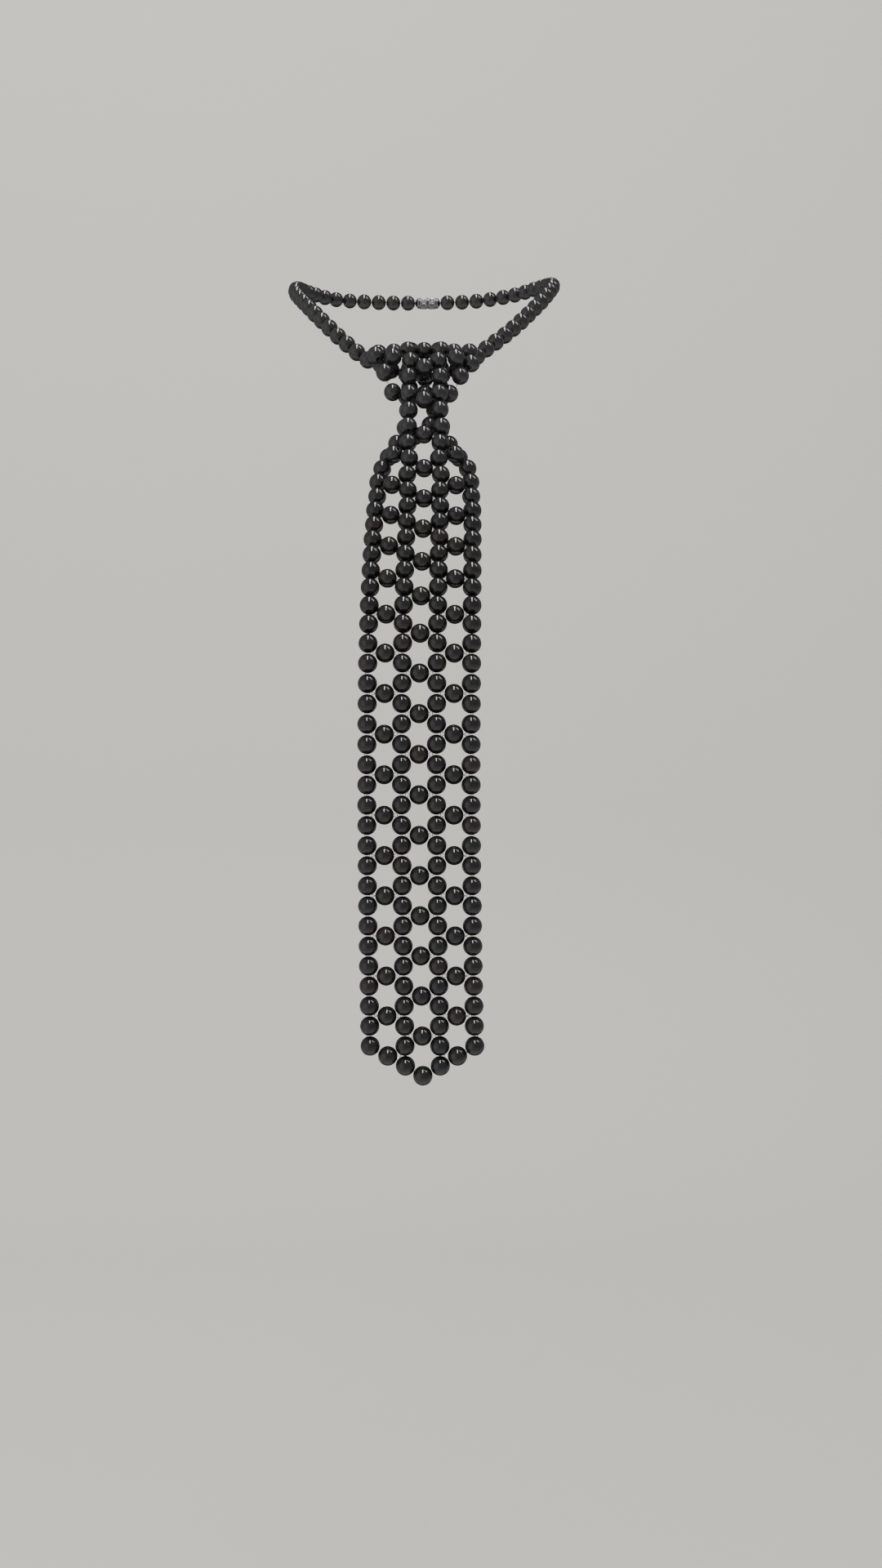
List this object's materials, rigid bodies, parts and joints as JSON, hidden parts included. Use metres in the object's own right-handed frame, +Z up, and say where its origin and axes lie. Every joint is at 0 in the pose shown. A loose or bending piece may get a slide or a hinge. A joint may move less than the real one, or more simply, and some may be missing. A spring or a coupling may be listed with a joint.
{
  "type": "necktie necklace",
  "caption": "Necklace in the form of a necktie: an open strip of round black beads with a folded knot, on a single strand of beads that closes at the nape with a barrel clasp.",
  "frame": {"origin": "middle of the clasp, at the nape of the neck that wears it", "axes": "+Z up as worn, the front of the tie towards -Y, left and right along X as seen from the front (-X is left)"},
  "size_m": [0.1383, 0.2088, 0.3951],
  "materials": {
    "beads": "polished black, mirror-smooth",
    "clasp": "dark plated, satin"
  },
  "bodies": {
    "root": {"blade_edge_left": "beads", "blade_inner_left": "beads", "blade_inner_right": "beads", "blade_edge_right": "beads", "knot_edge_left": "beads", "knot_inner_left": "beads", "knot_inner_right": "beads", "knot_edge_right": "beads", "neck_front": "beads", "neck_side_left": "beads", "neck_side_right": "beads", "neck_back_left": "beads", "neck_back_right": "beads", "clasp_barrel": "clasp"}
  },
  "joints": []
}
